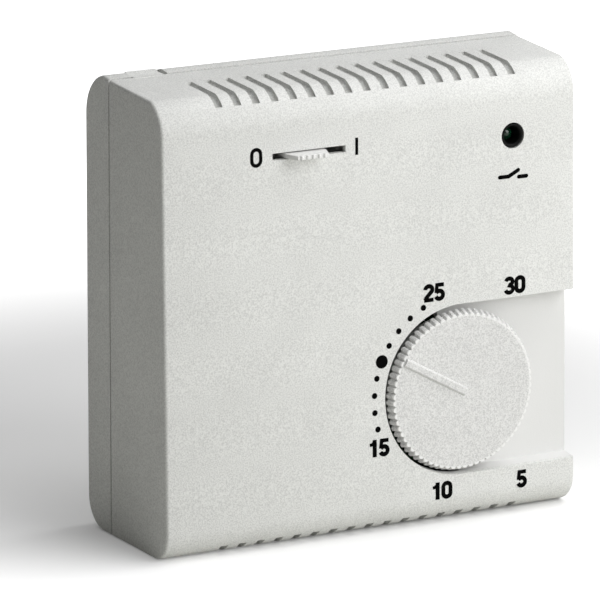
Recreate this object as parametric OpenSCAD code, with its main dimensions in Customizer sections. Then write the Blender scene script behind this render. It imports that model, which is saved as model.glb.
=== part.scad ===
// Wall thermostat with a temperature dial, an on/off slider and a relay output.
// X runs to the right, Z up, and the front faces -Y. The origin is the centre
// of the face that lies on the wall. "Depth" is the distance out from the wall.

/* [Case] */
// Width of the case
body_w = 84; // [80:1:90]
// Height of the case
body_h = 84; // [82:1:90]
// Depth from the wall to the front face at mid height
front_depth = 30.1; // [29.5:0.1:34]
// Angle by which the front face leans outwards towards the bottom
front_lean = 1.3; // [0:0.1:2]
// Depth of the parting line between base and cover
seam_depth = 9.3; // [9:0.1:10]
// Gap left at the parting line
seam_gap = 0.45; // [0.3:0.05:0.5]
// Wall thickness of the mouldings
wall = 2; // [1.6:0.1:2.4]
// Rounding along the left and right edges
edge_r = 0.6; // [0.3:0.1:1]

/* [Vents] */
// Number of slots in each row
vent_count = 17; // [9:2:19]
// Distance between neighbouring slots
vent_pitch = 3.715; // [3.5:0.005:4]
// Width of a slot
vent_w = 1.5; // [1.2:0.1:1.8]
// Depth of a slot's sloping floor at its right-hand edge
vent_shallow = 0.6; // [0.2:0.05:0.8]
// Depth of a slot's sloping floor at its left-hand edge, where it opens into the case
vent_deep = 1.4; // [1.3:0.1:2]

/* [Dial] */
// Dial axis, across
dial_x = 18.1; // [16:0.1:20]
// Dial axis, height
dial_z = -17.7; // [-18.5:0.1:-16]
// Radius of the dial over its teeth
dial_r = 15; // [13.5:0.1:15.1]
// Depth of the dial's front face
dial_front = 31.1; // [30.9:0.1:32.5]
// Number of teeth round the dial
dial_teeth = 72; // [60:1:80]
// Depth of the pocket that the dial sits in
pocket_depth = 3.5; // [3:0.1:3.7]
// Direction of the pointer, counter-clockwise from the right
pointer_angle = 151; // [60:0.5:300]

/* [On-off slider] */
// Centre of the slot, across
slot_x = -12.75; // [-14:0.05:-12]
// Centre of the slot, height
slot_z = 29.25; // [29:0.05:30]
// Length of the slot
slot_w = 14.7; // [14.5:0.1:16]
// Height of the slot
slot_h = 1.25; // [1:0.05:1.3]
// Place of the slider at rest, measured from the middle of the slot
slider_rest = -0.8; // [-1.5:0.1:1.5]
// How far the tab stands out
tab_out = 3; // [2:0.1:4]

/* [Indicator] */
// Lamp, across
led_x = 29; // [28:0.1:30]
// Lamp, height
led_z = 28; // [27:0.1:28.5]
// Radius of the lamp
led_r = 1.5; // [1.4:0.1:1.5]
// Radius of the hole in the cover
led_hole_r = 2.36; // [2.35:0.01:2.6]

/* [Mounting] */
// Distance between the two wall screws
screw_spacing = 60; // [60:1:61]
// Radius of the screw slots
screw_slot_r = 2.1; // [2:0.1:2.3]
// Overall length of a screw slot
screw_slot_l = 7; // [6:0.5:8]
// Width of the cable window
window_w = 24; // [20:1:24]
// Height of the cable window
window_h = 14; // [10:1:14]

/* [Hidden] */
$fn = 64;

// Side profile of the case
half_w = body_w / 2;
half_h = body_h / 2;
lean = tan(front_lean);
arc_steps = 14;
base_top_r = 8;
base_bottom_r = 5.8;
groove_drop = 0.6;
crown_r = 6.75;
crown_rise = 71.4;
crown_z = half_h - 7.7;
chin_r = 5.3;
chin_z = chin_r - half_h;
cover_back = seam_depth + seam_gap / 2;
base_front = seam_depth - seam_gap / 2;
cover_top = half_h - 0.4;

// Vent rows: where each starts and ends in depth, and the height that it reaches to
vent_top_from = 15.9;
vent_top_to = 27.6;
vent_top_z = 36.6;
vent_foot_from = 12;
vent_foot_to = 29.45;
vent_foot_z = -39.2;
vent_wall = 1.1;
vent_span = vent_count * vent_pitch;

// Release notch in the base, and the cover's tongue that lies in it
notch_x = -33.8;
notch_w = 7.1;
notch_back = 5.6;
notch_floor = half_h - 1.1;
tongue_x = -34.1;
tongue_w = 6.1;
tongue_t = 0.55;
tongue_back = 6;
tongue_lift = 0.1;
nose_front = 7;
nose_t = 0.95;

// Locating lip of the base
lip_gap = 0.3;
lip_w = 1.1;
lip_h = 2.1;

// Circuit board
board_back = 6.4;
board_t = 1.6;
board_top = board_back + board_t;
board_w = 76;
board_h = 75;
board_screw_x = 35;
board_screw_z = 32.5;
window_z = 15;
board_hole_r = 6.5;
board_boss_r = 3;
board_rest_x = 20;
board_rest_z = 30;
board_rest_r = 1.5;
collar_wall = 1.2;

// Dial pocket
pocket_r0 = 15.2;
pocket_r1 = 15.9;
pocket_d0 = 26;
pocket_d1 = 31.5;
pocket_z = dial_z + 0.3;
pocket_wall = 1.6;
pocket_inner = front_depth - pocket_depth - 1.3;
pocket_lip = 1.3;
hub_r = 5.5;
hub_back = 22.6;
hub_clear = 0.1;
knob_back = front_depth - pocket_depth + 1.15;
shaft_r = 3;
bore_clear = 0.06;
flat_at = 1.5;
shaft_front = 28.5;
dial_rim = 1.6;
dial_taper = 0.6;
dial_undercut = 1.3;
rib_from = -0.5;
rib_to = 13.8;
rib_w = 1.7;
rib_top = 1;
rib_h = 0.5;
rib_shift = -0.15;
ring_groove_from = 23.6;
ring_groove_to = 24.6;
ring_groove = 0.5;

// Gap behind the front wall that follows the left and lower edge of the dial
dial_gap_r = 13;
dial_gap_from = 102;
dial_gap_to = 272;

// Potentiometer
pot_back = board_top + 0.8;
pot_front = 16;
pot_r = 8.2;
pot_neck_r = 3.5;
pot_neck_front = 21;
pot_flange_r = 5.5;
pot_pin_z = dial_z - pot_r - 1.6;

// On-off switch
slider_x = slot_x + slider_rest;
travel_down = 2.4;
travel_up = 4;
tab_t = 0.75;
flange_back = 21;
flange_t = 1.2;
flange_w = 24;
flange_h = 5;
lever_w = 3;
lever_t = 2.4;
lever_front = 19.8;
fork_back = 16.4;
fork_gap = 0.12;
rail_lip_gap = 0.4;
rail_lip_t = 0.8;
slot_wall = 1.1;
switch_w = 20;
switch_h = 7.4;
switch_top = 13.4;
can_t = 0.5;

// Terminals
pole_pitch = 5.08;
pole_count = 5;
block_w = pole_count * pole_pitch + 1;
block_h = 10.2;
block_t = 13;
block_x = -8.8;
block_z = 1.1;

// Relay
relay_x = -26.5;
relay_z = -16.5;
relay_w = 19;
relay_h = 15.4;
relay_top = board_top + 15.2;
relay_pins = [[-7, 0], [-5, 6], [-5, -6], [7, 6], [7, -6]];

// Control chip
chip_x = 20;
chip_z = 13;
chip_pitch = 2.54;
chip_row = 3.81;

// Leads of the small parts
lead_r = 0.3;
lead_stub = 1.8;
led_lead = 1.27;

// Lamp and its black holder, which reaches into the hole in the cover
led_seat = 22.8;
led_shoulder = 0.8;
led_dome = 26.2;
holder_r = 2.18;
holder_bore = 1.65;
holder_front = 29.3;
holder_flare = 0.25;
holder_foot_r = 2.6;

// Small parts on the board
film_cap_x = -22;
film_cap_z = -33.4;
can_x = -10.5;
can_zs = [-13, -23];
can_rs = [4, 3.15];
can_hs = [11.5, 9];
varistor_x = -26;
varistor_z = 15;
varistor_r = 4;
trimmer_x = 7;
trimmer_z = 30;
fuse_x = -34;
fuse_z = 16;
transistor_x = -20;
transistor_z = 14;
sensor_z = -34.5;
sensor_out = 9;

// ---------- helpers ----------

// Points along an arc
function arc(cx, cy, r, a0, a1, n) =
    [for (i = [0:n]) let (a = a0 + (a1 - a0) * i / n) [cx + r * cos(a), cy + r * sin(a)]];

// Depth of the front face at a height
function front_at(z) = front_depth - lean * z;

// A side profile, drawn as depth against height, drawn out along X
module along_x(x0, x1) translate([x1, 0, 0]) rotate([90, 0, -90]) linear_extrude(x1 - x0) children();

// A front outline, drawn as X against Z, drawn out between two depths
module off_wall(d0, d1) translate([0, -d0, 0]) rotate([90, 0, 0]) linear_extrude(d1 - d0) children();

// A round pin or hole that runs out from the wall
module pin(x, z, d0, d1, r, r_end = -1)
    translate([x, -d0, z]) rotate([90, 0, 0])
        cylinder(h = d1 - d0, r1 = r, r2 = r_end < 0 ? r : r_end);

// A block given by its centre in X and Z, its size and its two depths
module block(x, z, w, h, d0, d1) translate([x - w / 2, -d1, z - h / 2]) cube([w, d1 - d0, h]);

// A side profile drawn out over the whole width, with rounded side edges
module rounded_body() hull() for (a = [0, 30, 60, 90]) {
    x = half_w - edge_r + edge_r * cos(a);
    along_x(-x, x) offset(delta = -edge_r * (1 - sin(a))) children();
}

// ---------- case ----------

// Outline of the base, moved inwards by t; it runs on to the given depth
module base_profile(t, to) polygon(concat(
    arc(base_top_r, half_h - base_top_r, base_top_r - t, 180, 98, arc_steps),
    [[to, half_h - groove_drop - t], [to, t - half_h]],
    arc(base_bottom_r, base_bottom_r - half_h, base_bottom_r - t, 270, 180, arc_steps)));

// Outline of the cover, moved inwards by t; it runs back to the given depth
module cover_profile(t, from) polygon(concat(
    [[from, t - half_h], [from, cover_top - t]],
    arc(front_at(crown_z) - crown_r, crown_z, crown_r - t, crown_rise, front_lean, arc_steps),
    arc(front_at(chin_z) - chin_r, chin_z, chin_r - t, front_lean, -90, arc_steps)));

// Stretched hole with round ends, through the back plate
module screw_slot(x) {
    reach = screw_slot_l / 2 - screw_slot_r;
    for (s = [-1, 1]) pin(x + s * reach, 0, -1, wall + 1, screw_slot_r);
    block(x, 0, 2 * reach, 2 * screw_slot_r, -1, wall + 1);
}

module release_notch()
    block(notch_x, half_h, notch_w, 2 * (half_h - notch_floor), notch_back, cover_back + 1);

module rear_base() color("whitesmoke") difference() {
    union() {
        difference() {
            rounded_body() base_profile(0, base_front + 2);
            along_x(-half_w - 1, half_w + 1) translate([base_front, -half_h - 1]) square([5, body_h + 2]);
            along_x(wall - half_w, half_w - wall) difference() {
                base_profile(wall, base_front + 3);
                translate([-1, -half_h]) square([wall + 1, body_h]);
            }
        }
        // locating lip, thickened where it joins the wall
        off_wall(base_front - 2, base_front) lip_outline(wall - 0.1);
        off_wall(base_front - 0.1, base_front + lip_h) lip_outline(wall + lip_gap);
        for (x = [-1, 1], z = [-1, 1]) {
            pin(x * board_screw_x, z * board_screw_z, wall - 0.1, board_back, board_boss_r);
            pin(x * board_rest_x, z * board_rest_z, wall - 0.1, board_back, board_rest_r);
        }
        // collar round the cable window
        difference() {
            block(0, window_z, window_w + 2 * collar_wall, window_h + 2 * collar_wall,
                wall - 0.1, board_back - 1);
            block(0, window_z, window_w, window_h, 0, board_back);
        }
    }
    for (s = [-1, 1]) screw_slot(s * screw_spacing / 2);
    block(0, window_z, window_w, window_h, -1, wall + 1);
    for (x = [-1, 1], z = [-1, 1]) pin(x * board_screw_x, z * board_screw_z, 2.6, board_back + 1, 1.1);
    release_notch();
}

module lip_outline(inset) difference() {
    translate([inset - half_w, inset - half_h])
        square([body_w - 2 * inset, body_h - 2 * inset - groove_drop + 0.2]);
    translate([wall + lip_gap + lip_w - half_w, wall + lip_gap + lip_w - half_h])
        square([body_w - 2 * (wall + lip_gap + lip_w), body_h - 2 * (wall + lip_gap + lip_w) - 0.4]);
}

// What is left under a slot where the wall curves: a cone round the axis of the curve
module slot_floor_curved(x, axis_d, axis_z, r) intersection() {
    translate([x - vent_w / 2, -axis_d, axis_z]) rotate([0, 90, 0])
        cylinder(h = vent_w, r1 = r - vent_deep, r2 = r - vent_shallow);
    block(x, axis_z, vent_w + 1, 20, axis_d, axis_d + 10);
}

// What is left under a slot where the wall is flat: a wedge that runs back from an edge at the given
// depth and height; up is 1 under the top wall and -1 over the bottom one, and tilt is the wall's slope
module slot_floor_flat(x, d, z, up, tilt) translate([x, -d, z]) rotate([tilt, 0, 0])
    translate([0, 14, 0]) rotate([90, 0, 0]) linear_extrude(14) polygon([
        [-vent_w / 2, -up * vent_deep], [vent_w / 2, -up * vent_shallow],
        [vent_w / 2, -up * 5], [-vent_w / 2, -up * 5]]);

module vent_row(d0, d1, z0, z1) for (i = [0:vent_count - 1]) {
    x = (i - (vent_count - 1) / 2) * vent_pitch;
    difference() {
        along_x(x - vent_w / 2, x + vent_w / 2) translate([d0, z0]) square([d1 - d0, z1 - z0]);
        if (z0 > 0) {
            crown_d = front_at(crown_z) - crown_r;
            edge_d = crown_d + crown_r * cos(crown_rise);
            edge_z = crown_z + crown_r * sin(crown_rise);
            intersection() {
                slot_floor_curved(x, crown_d, crown_z, crown_r);
                block(x, crown_z, vent_w + 1, 20, edge_d, edge_d + 10);
            }
            slot_floor_flat(x, edge_d, edge_z, 1, atan((cover_top - edge_z) / (edge_d - cover_back)));
        } else {
            chin_d = front_at(chin_z) - chin_r;
            slot_floor_curved(x, chin_d, chin_z, chin_r);
            slot_floor_flat(x, chin_d, -half_h, -1, 0);
        }
    }
}

// Hollow on the inside that leaves a thinner wall under a row of slots
module vent_relief(d0, d1, z0, z1) along_x(-vent_span / 2, vent_span / 2) intersection() {
    translate([d0, z0]) square([d1 - d0, z1 - z0]);
    cover_profile(vent_wall, cover_back - 3);
}

// The dial pocket: a round pocket that runs out through the right-hand side
module pocket_cut() intersection() {
    union() {
        pin(dial_x, pocket_z, pocket_d0, pocket_d1, pocket_r0, pocket_r1);
        along_x(dial_x, half_w + 1) polygon([
            [pocket_d0, pocket_z - pocket_r0], [pocket_d1, pocket_z - pocket_r1],
            [pocket_d1, pocket_z + pocket_r1], [pocket_d0, pocket_z + pocket_r0]]);
    }
    along_x(dial_x - 20, half_w + 2) polygon([
        [front_at(5) - pocket_depth, 5], [40, 5],
        [40, -40], [front_at(-40) - pocket_depth, -40]]);
}

module pocket_block() off_wall(pocket_inner, 29) {
    r = pocket_r1 + pocket_wall;
    translate([dial_x, dial_z]) circle(r = r);
    translate([dial_x, dial_z - r]) square([half_w - 1 - dial_x, 2 * r]);
}

// Two rails that the slider's flange runs in, each with a lip behind and in front of the flange
module slider_rails() {
    edge = flange_h / 2 + 0.3;
    rail_l = 31;
    rail_x = slot_x + (travel_up - travel_down) / 2;
    behind = flange_back - rail_lip_gap - rail_lip_t;
    ahead = flange_back + flange_t + rail_lip_gap;
    for (s = [-1, 1]) {
        block(rail_x, slot_z + s * (edge + 0.5), rail_l, 1, behind, 28);
        for (d = [behind, ahead])
            block(rail_x, slot_z + s * (edge + 0.1), rail_l, 1.8, d, d + rail_lip_t);
    }
}

// Ring-shaped hollow round part of the dial, which leaves only the lip of the front wall there
module dial_gap() {
    back = pocket_inner - 1;
    front = front_at(dial_z) - pocket_lip;
    intersection() {
        difference() {
            pin(dial_x, dial_z, back, front, pocket_r1 + pocket_wall + 0.1);
            pin(dial_x, dial_z, back - 1, front + 1, dial_gap_r);
        }
        off_wall(back, front) translate([dial_x, dial_z])
            polygon(concat([[0, 0]], arc(0, 0, 2 * pocket_r0, dial_gap_from, dial_gap_to, 8)));
    }
}

module front_cover() color("whitesmoke") difference() {
    union() {
        difference() {
            rounded_body() cover_profile(0, cover_back - 2);
            along_x(-half_w - 1, half_w + 1) translate([0, -half_h - 1]) square([cover_back, body_h + 2]);
            along_x(wall - half_w, half_w - wall) cover_profile(wall, cover_back - 3);
        }
        pocket_block();
        pin(led_x, led_z, 25, 28, led_hole_r + 1.2);
        slider_rails();
        latch_tongue();
    }
    pocket_cut();
    dial_gap();
    pin(dial_x, dial_z, hub_back, front_depth, hub_r + hub_clear);
    vent_row(vent_top_from, vent_top_to, vent_top_z, half_h + 1);
    vent_row(vent_foot_from, vent_foot_to, -half_h - 1, vent_foot_z);
    vent_relief(vent_top_from - 1, vent_top_to + 0.8, vent_top_z - 1, half_h);
    vent_relief(vent_foot_from - 1, vent_foot_to + 0.6, -half_h, vent_foot_z + 1);
    block(slot_x, slot_z, slot_w, slot_h, 20, 32);
    block(slot_x, slot_z, slot_w + 1.6, slot_h + 1.6, 20, front_at(slot_z) - slot_wall);
    pin(led_x, led_z, 20, 32, led_hole_r);
}

// The tongue that lies in the base's notch, with a nose that slopes up towards the wall
module latch_tongue() along_x(tongue_x - tongue_w / 2, tongue_x + tongue_w / 2)
    translate([0, notch_floor + tongue_lift]) polygon([
        [cover_back + 0.5, 0], [tongue_back, 0], [tongue_back, nose_t], [tongue_back + 0.2, nose_t],
        [nose_front, tongue_t], [cover_back + 0.5, tongue_t]]);

// ---------- dial ----------

// Broad flat-topped teeth with a narrow V between neighbours
module toothed_disc() {
    tooth_h = 0.5;
    half_v = 0.27;
    pitch = 360 / dial_teeth;
    tooth = [[0, dial_r - tooth_h], [half_v, dial_r - 0.05], [0.5, dial_r], [1 - half_v, dial_r - 0.05]];
    polygon([for (i = [0:dial_teeth - 1], p = tooth) let (a = (i + p[0]) * pitch) p[1] * [cos(a), sin(a)]]);
}

// The raised pointer, with sloping sides
module pointer_rib() translate([dial_x, -dial_front, dial_z]) rotate([0, -pointer_angle, 0]) hull() {
    translate([rib_from, 0, rib_shift - rib_w / 2]) cube([rib_to - rib_from, 0.1, rib_w]);
    translate([rib_from, -rib_h, rib_shift - rib_top / 2]) cube([rib_to - rib_from, 0.1, rib_top]);
}

module dial_knob() color("whitesmoke") difference() {
    union() {
        translate([dial_x, dial_rim - dial_front, dial_z]) rotate([90, 0, 0])
            linear_extrude(dial_rim, scale = 1 - dial_taper / dial_r) toothed_disc();
        pin(dial_x, dial_z, knob_back, dial_front - dial_rim + 0.1, dial_r - dial_undercut);
        pin(dial_x, dial_z, hub_back, knob_back + 0.1, hub_r);
        pointer_rib();
    }
    // D-shaped bore for the shaft
    difference() {
        pin(dial_x, dial_z, hub_back - 1, shaft_front + 0.4, shaft_r + bore_clear);
        d_flat(bore_clear);
    }
    // groove for the retaining ring
    difference() {
        pin(dial_x, dial_z, ring_groove_from, ring_groove_to, hub_r + 1);
        pin(dial_x, dial_z, ring_groove_from - 0.1, ring_groove_to + 0.1, hub_r - ring_groove);
    }
}

// The side of the shaft that is cut flat
module d_flat(clear) translate([dial_x, 0, dial_z]) rotate([0, -pointer_angle, 0])
    translate([flat_at + clear, -shaft_front - 2, -5]) cube([5, 8, 10]);

module knob_retaining_ring() color("silver") difference() {
    pin(dial_x, dial_z, ring_groove_from + 0.1, ring_groove_to - 0.1, hub_r + 1.7);
    pin(dial_x, dial_z, ring_groove_from, ring_groove_to, hub_r - ring_groove + 0.05);
    block(dial_x, dial_z - 7, 3, 10, ring_groove_from, ring_groove_to);
}

// ---------- potentiometer ----------

module potentiometer_body() color("dimgray") difference() {
    union() {
        pin(dial_x, dial_z, pot_back, pot_front, pot_r);
        block(dial_x, dial_z - pot_r - 0.5, 12, 5, pot_back, pot_back + 2.2);
    }
    pin(dial_x, dial_z, pot_back + 1, pot_front - 1.2, pot_r - 0.8);
    pin(dial_x, dial_z, pot_front - 2, pot_front + 1, pot_neck_r);
}

module potentiometer_bush() color("darkgray") difference() {
    union() {
        pin(dial_x, dial_z, pot_front - 1.2, pot_neck_front, pot_neck_r);
        pin(dial_x, dial_z, pot_front, pot_front + 0.8, pot_flange_r);
    }
    pin(dial_x, dial_z, pot_front - 2, pot_neck_front + 1, shaft_r + bore_clear);
}

module potentiometer_track() color("black") difference() {
    pin(dial_x, dial_z, pot_back + 1, pot_back + 1.5, 7);
    pin(dial_x, dial_z, pot_back, pot_back + 3, 4.2);
    block(dial_x, dial_z - 6, 3, 8, pot_back, pot_back + 3);
}

module potentiometer_pins() color("silver") for (i = [-1:1])
    block(dial_x + i * 5, pot_pin_z, 1, 0.5, board_back - 1.5, pot_back);

module potentiometer_shaft() color("lightgray") difference() {
    pin(dial_x, dial_z, pot_back + 2.2, shaft_front, shaft_r);
    d_flat(0);
}

module potentiometer_wiper() color("goldenrod") {
    difference() {
        pin(dial_x, dial_z, pot_back + 3, pot_back + 3.8, 4.4);
        pin(dial_x, dial_z, pot_back, pot_back + 5, shaft_r);
    }
    translate([dial_x, 0, dial_z]) rotate([0, -pointer_angle, 0]) {
        translate([3.6, -pot_back - 3.8, -0.8]) cube([2.6, 0.8, 1.6]);
        translate([5.4, -pot_back - 3.8, -0.8]) cube([0.8, 1.9, 1.6]);
    }
}

// ---------- on-off switch ----------

module switch_slider() color("white") {
    front = front_at(slot_z);
    base_w = 8.2;
    tip_w = 6.2;
    rib_pitch = 1.16;
    rib_r = 0.28;
    translate([slider_x, 0, slot_z - tab_t / 2]) linear_extrude(tab_t) polygon([
        [-base_w / 2, -flange_back - flange_t + 0.1], [base_w / 2, -flange_back - flange_t + 0.1],
        [base_w / 2, -front - 0.2], [tip_w / 2, -front - tab_out],
        [-tip_w / 2, -front - tab_out], [-base_w / 2, -front - 0.2]]);
    for (i = [-2:2]) translate([slider_x + i * rib_pitch, -front - tab_out, slot_z - tab_t / 2])
        cylinder(h = tab_t, r = rib_r, $fn = 24);
    block(slider_x, slot_z, flange_w, flange_h, flange_back, flange_back + flange_t);
    for (s = [-1, 1]) block(slider_x + s * (lever_w / 2 + fork_gap + 0.6), slot_z, 1.2, 3,
        fork_back, flange_back + 0.1);
}

module switch_lever() color("dimgray") {
    block(slider_x, slot_z, lever_w, lever_t, switch_top - 1.4, lever_front);
    block(slider_x, slot_z, 6, 4.6, switch_top - 2.6, switch_top - 1);
}

module switch_contact() color("gold") for (s = [-1, 1])
    block(slider_x, slot_z + s * 1.2, 4.4, 0.8, switch_top - 3.4, switch_top - 2.6);

module switch_frame() color("silver") difference() {
    block(slot_x, slot_z, switch_w, switch_h, board_top, switch_top);
    block(slot_x, slot_z, switch_w - 2 * can_t, switch_h - 2 * can_t, board_top + 1, switch_top - can_t);
    block(slot_x, slot_z, lever_w + travel_up + travel_down + 2, lever_t + 0.6,
        switch_top - 2, switch_top + 1);
}

module switch_pins() color("silver") for (i = [-1:1], s = [-1, 1])
    block(slot_x + i * 5, slot_z + s * 2, 1, 0.5, board_back - 1.5, board_top);

// ---------- lamp ----------

module indicator_led() color("green") {
    pin(led_x, led_z, led_seat, led_dome, led_r);
    pin(led_x, led_z, led_seat, led_seat + led_shoulder, led_r + 0.1);
    translate([led_x, -led_dome, led_z]) sphere(r = led_r);
    for (s = [-1, 1]) block(led_x + s * led_lead, led_z, 0.5, 0.5, board_back - 1.5, led_seat + 0.1);
}

// The holder stands on the board, carries the lamp and ends as a collar round it
module led_spacer() color("black") difference() {
    union() {
        pin(led_x, led_z, board_top, holder_front, holder_r);
        pin(led_x, led_z, board_top, board_top + 1.2, holder_foot_r);
    }
    pin(led_x, led_z, led_seat, holder_front + 1, holder_bore);
    pin(led_x, led_z, holder_front - holder_flare, holder_front + holder_flare,
        holder_bore, holder_bore + 2 * holder_flare);
    for (s = [-1, 1]) block(led_x + s * led_lead, led_z, 0.5, 0.5, board_top - 1, led_seat + 1);
}

// ---------- circuit board and terminals ----------

module circuit_board() color("darkgreen") off_wall(board_back, board_top) difference() {
    square([board_w, board_h], center = true);
    for (s = [-1, 1]) translate([s * screw_spacing / 2, 0]) circle(r = board_hole_r);
    translate([0, window_z]) square([window_w + 2, window_h + 2], center = true);
    for (x = [-1, 1], z = [-1, 1]) translate([x * board_screw_x, z * board_screw_z]) circle(r = 1.6);
    lead_holes();
}

// Clearance holes for the leads that go through the board
module lead_holes() {
    for (s = [-1, 1]) translate([led_x + s * led_lead, led_z]) square(0.6, center = true);
    for (i = [-1:1], s = [-1, 1])
        translate([slot_x + i * 5, slot_z + s * 2]) square([1.1, 0.6], center = true);
    for (i = [-1:1]) translate([dial_x + i * 5, pot_pin_z]) square([1.1, 0.6], center = true);
    for (p = relay_pins) translate([relay_x + p[0], relay_z + p[1]]) square([1.1, 0.6], center = true);
    for (i = [-1.5:1.5], s = [-1, 1])
        translate([chip_x + i * chip_pitch, chip_z + s * chip_row]) square(0.65, center = true);
}

module board_screws() color("silver") for (x = [-1, 1], z = [-1, 1]) difference() {
    union() {
        pin(x * board_screw_x, z * board_screw_z, 2.8, board_top + 0.1, 1.05);
        pin(x * board_screw_x, z * board_screw_z, board_top, board_top + 1.6, 2.5, 2.1);
    }
    for (a = [0, 90]) translate([x * board_screw_x, -board_top - 1.2, z * board_screw_z])
        rotate([0, a, 0]) translate([-1.3, -1, -0.25]) cube([2.6, 1.6, 0.5]);
}

function pole_x(i) = block_x + (i - (pole_count - 1) / 2) * pole_pitch;

module terminal_block() color("ivory") difference() {
    block(block_x, block_z, block_w, block_h, board_top, board_top + block_t);
    for (i = [0:pole_count - 1]) {
        pin(pole_x(i), block_z - 0.6, board_top + 5, board_top + block_t + 1, 2.1);
        block(pole_x(i), block_z + 1.4, 4.2, block_h - 1, board_top + 1.4, board_top + 6.6);
    }
    // guide chamfer in front of the wire entries
    along_x(block_x - block_w, block_x + block_w) polygon([
        [board_top + block_t + 1, block_z + block_h / 2 - 2], [board_top + block_t + 1, block_z + 9],
        [board_top + block_t - 4, block_z + 9], [board_top + block_t - 2.6, block_z + block_h / 2 + 0.01]]);
}

module terminal_cages() color("silver") for (i = [0:pole_count - 1]) difference() {
    block(pole_x(i), block_z - 0.6, 4, 4.6, board_top + 1.6, board_top + 6.4);
    block(pole_x(i), block_z - 0.6, 2.8, 6, board_top + 2.2, board_top + 5.6);
    pin(pole_x(i), block_z - 0.6, board_top + 5, board_top + 7, 1.3);
}

module terminal_screws() color("silver") for (i = [0:pole_count - 1]) difference() {
    union() {
        pin(pole_x(i), block_z - 0.6, board_top + 3.6, board_top + 8, 1.25);
        pin(pole_x(i), block_z - 0.6, board_top + 7.6, board_top + 9.6, 1.9);
    }
    block(pole_x(i), block_z - 0.6, 4, 0.5, board_top + 8.8, board_top + 10);
}

// ---------- parts on the board ----------

module relay_case() color("royalblue") difference() {
    block(relay_x, relay_z, relay_w, relay_h, board_top + 0.4, relay_top);
    block(relay_x, relay_z, relay_w - 1.4, relay_h - 1.4, board_top - 1, board_top + 1.4);
    pin(relay_x - 7.6, relay_z - 5.8, relay_top - 0.4, relay_top + 1, 0.7);
}

module relay_pin_plate() color("black") {
    block(relay_x, relay_z, relay_w - 1.6, relay_h - 1.6, board_top, board_top + 1.3);
    for (p = relay_pins) block(relay_x + p[0], relay_z + p[1], 1, 0.5, board_back - 1.5, board_top + 0.2);
}

module suppression_capacitor() color("gold")
    block(film_cap_x, film_cap_z, 18, 6, board_top, board_top + 12);

module smoothing_capacitors() color("midnightblue") for (i = [0, 1])
    can(can_x, can_zs[i], can_rs[i], can_hs[i]);

// An electrolytic capacitor: a can with a rolled groove near its foot
module can(x, z, r, h) difference() {
    pin(x, z, board_top, board_top + h, r);
    difference() {
        pin(x, z, board_top + 1.2, board_top + 2, r + 1);
        pin(x, z, board_top + 1.1, board_top + 2.1, r - 0.25);
    }
}

// An axial part lying along Z, its leads bent down to the board
module axial(x, z, r, l) {
    depth = board_top + r + 0.2;
    translate([x, -depth, z - l / 2]) cylinder(h = l, r = r);
    translate([x, -depth, z - l / 2 - lead_stub]) cylinder(h = l + 2 * lead_stub, r = lead_r);
    for (s = [-1, 1]) block(x, z + s * (l / 2 + lead_stub), 0.7, 0.7, board_top, depth + 0.35);
}

module resistors() color("tan") {
    for (x = [-3:3:6]) axial(x, -20, 1.15, 6);
    for (x = [31.5, 35]) axial(x, 14, 1.15, 6);
}

module diodes() color("black") for (x = [30.5, 34.5], z = [-13, -25]) axial(x, z, 1.35, 5);

module control_chip() color("black") difference() {
    block(chip_x, chip_z, 9.6, 6.4, board_top + 0.6, board_top + 3.9);
    pin(chip_x - 4.8, chip_z, board_top + 3.5, board_top + 5, 0.9);
}

module chip_pins() color("silver") for (i = [-1.5:1.5], s = [-1, 1]) {
    block(chip_x + i * chip_pitch, chip_z + s * 3.52, 1.3, 0.64, board_top + 1.6, board_top + 2);
    block(chip_x + i * chip_pitch, chip_z + s * chip_row, 0.5, 0.3, board_back - 1.5, board_top + 2);
}

module varistor() color("steelblue") {
    translate([varistor_x - 1.6, -board_top - varistor_r - 1.2, varistor_z]) rotate([0, 90, 0])
        cylinder(h = 3.2, r = varistor_r);
    for (s = [-1, 1]) block(varistor_x, varistor_z + s * 2.5, 0.6, 0.6, board_top, board_top + 3);
}

module calibration_trimmer() color("dodgerblue") difference() {
    union() {
        block(trimmer_x, trimmer_z, 6.6, 6.6, board_top, board_top + 4.4);
        pin(trimmer_x, trimmer_z, board_top + 4.3, board_top + 5, 2.1);
    }
    block(trimmer_x, trimmer_z, 3, 0.6, board_top + 4.6, board_top + 6);
}

module fuse_resistor() color("darkseagreen") axial(fuse_x, fuse_z, 2, 9);

module drive_transistor() color("black") {
    difference() {
        pin(transistor_x, transistor_z, board_top + 3, board_top + 7.6, 2.3);
        block(transistor_x, transistor_z - 2.8, 6, 3, board_top + 2, board_top + 9);
    }
    for (i = [-1:1])
        block(transistor_x + i * 1.27, transistor_z, 0.45, 0.45, board_top, board_top + 3.1);
}

module temperature_sensor() color("darkolivegreen") {
    translate([0, -board_top - sensor_out, sensor_z]) sphere(r = 1.4);
    for (s = [-1, 1]) block(s * 0.75, sensor_z, 0.5, 0.5, board_top, board_top + sensor_out);
}

rear_base();
circuit_board();
board_screws();
terminal_block();
terminal_cages();
terminal_screws();
relay_case();
relay_pin_plate();
suppression_capacitor();
smoothing_capacitors();
resistors();
diodes();
control_chip();
chip_pins();
varistor();
calibration_trimmer();
fuse_resistor();
drive_transistor();
temperature_sensor();
potentiometer_body();
potentiometer_bush();
potentiometer_track();
potentiometer_pins();
indicator_led();
led_spacer();
switch_frame();
switch_pins();
front_cover();
dial_knob();
knob_retaining_ring();
switch_slider();
potentiometer_shaft();
potentiometer_wiper();
switch_lever();
switch_contact();
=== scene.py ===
"""Looks of the wall thermostat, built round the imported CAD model.

Blender's lengths are in metres, named sizes in mm. X is to the right, Z up, and the front faces -Y.
"""
import math

import bmesh
import bpy
from mathutils import Matrix, Vector


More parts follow.
